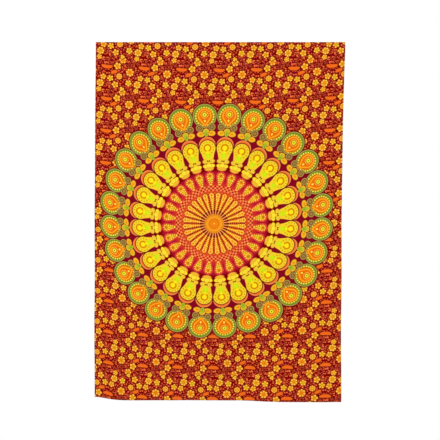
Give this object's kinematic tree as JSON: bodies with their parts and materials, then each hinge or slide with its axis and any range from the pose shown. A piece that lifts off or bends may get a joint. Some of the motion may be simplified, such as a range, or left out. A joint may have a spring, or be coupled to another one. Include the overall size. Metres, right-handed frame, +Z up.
{
  "type": "tapestry wall hanging",
  "caption": "Printed cotton wall hanging with turned hems, hung by a flat wooden batten in a sleeve sewn along its back, under the straight top edge.",
  "frame": {"origin": "centre of the hanging sleeve's back face, which lies against the wall", "axes": "+Z up, +Y into the wall, so the print faces -Y; +X to the viewer's right"},
  "size_m": [1.4, 0.0098, 2],
  "materials": {
    "printed_cotton": "matt screen print on plain weave",
    "hem_cotton": "matt, reverse of the print",
    "sleeve_cotton": "matt unprinted plain weave",
    "hem_thread": "spun cotton thread",
    "batten_wood": "sanded, unvarnished"
  },
  "bodies": {
    "batten": {"batten": "batten_wood"},
    "heading": {"panel_heading": "printed_cotton", "top_hem": "hem_cotton", "sleeve_front": "sleeve_cotton", "sleeve_back": "sleeve_cotton", "sleeve_upper_edge": "sleeve_cotton", "sleeve_lower_edge": "sleeve_cotton", "heading_left_hem": "hem_cotton", "heading_right_hem": "hem_cotton", "top_hem_stitching": "hem_thread", "sleeve_upper_stitching": "hem_thread", "sleeve_lower_stitching": "hem_thread", "heading_left_stitching": "hem_thread", "heading_right_stitching": "hem_thread"},
    "drop": {"panel_drop": "printed_cotton", "drop_left_hem": "hem_cotton", "drop_right_hem": "hem_cotton", "bottom_hem": "hem_cotton", "left_hem_stitching": "hem_thread", "right_hem_stitching": "hem_thread", "bottom_hem_stitching": "hem_thread"}
  },
  "joints": [
    {"name": "heading_slide", "type": "slide", "parent": "batten", "child": "heading", "axis": [1, 0, 0], "range_m": [-0.65, 0.65]},
    {"name": "drop_swing", "type": "hinge", "parent": "heading", "child": "drop", "pos_m": [0, -0.00885, -0.0246], "axis": [-1, 0, 0], "range_deg": [0, 90]}
  ]
}
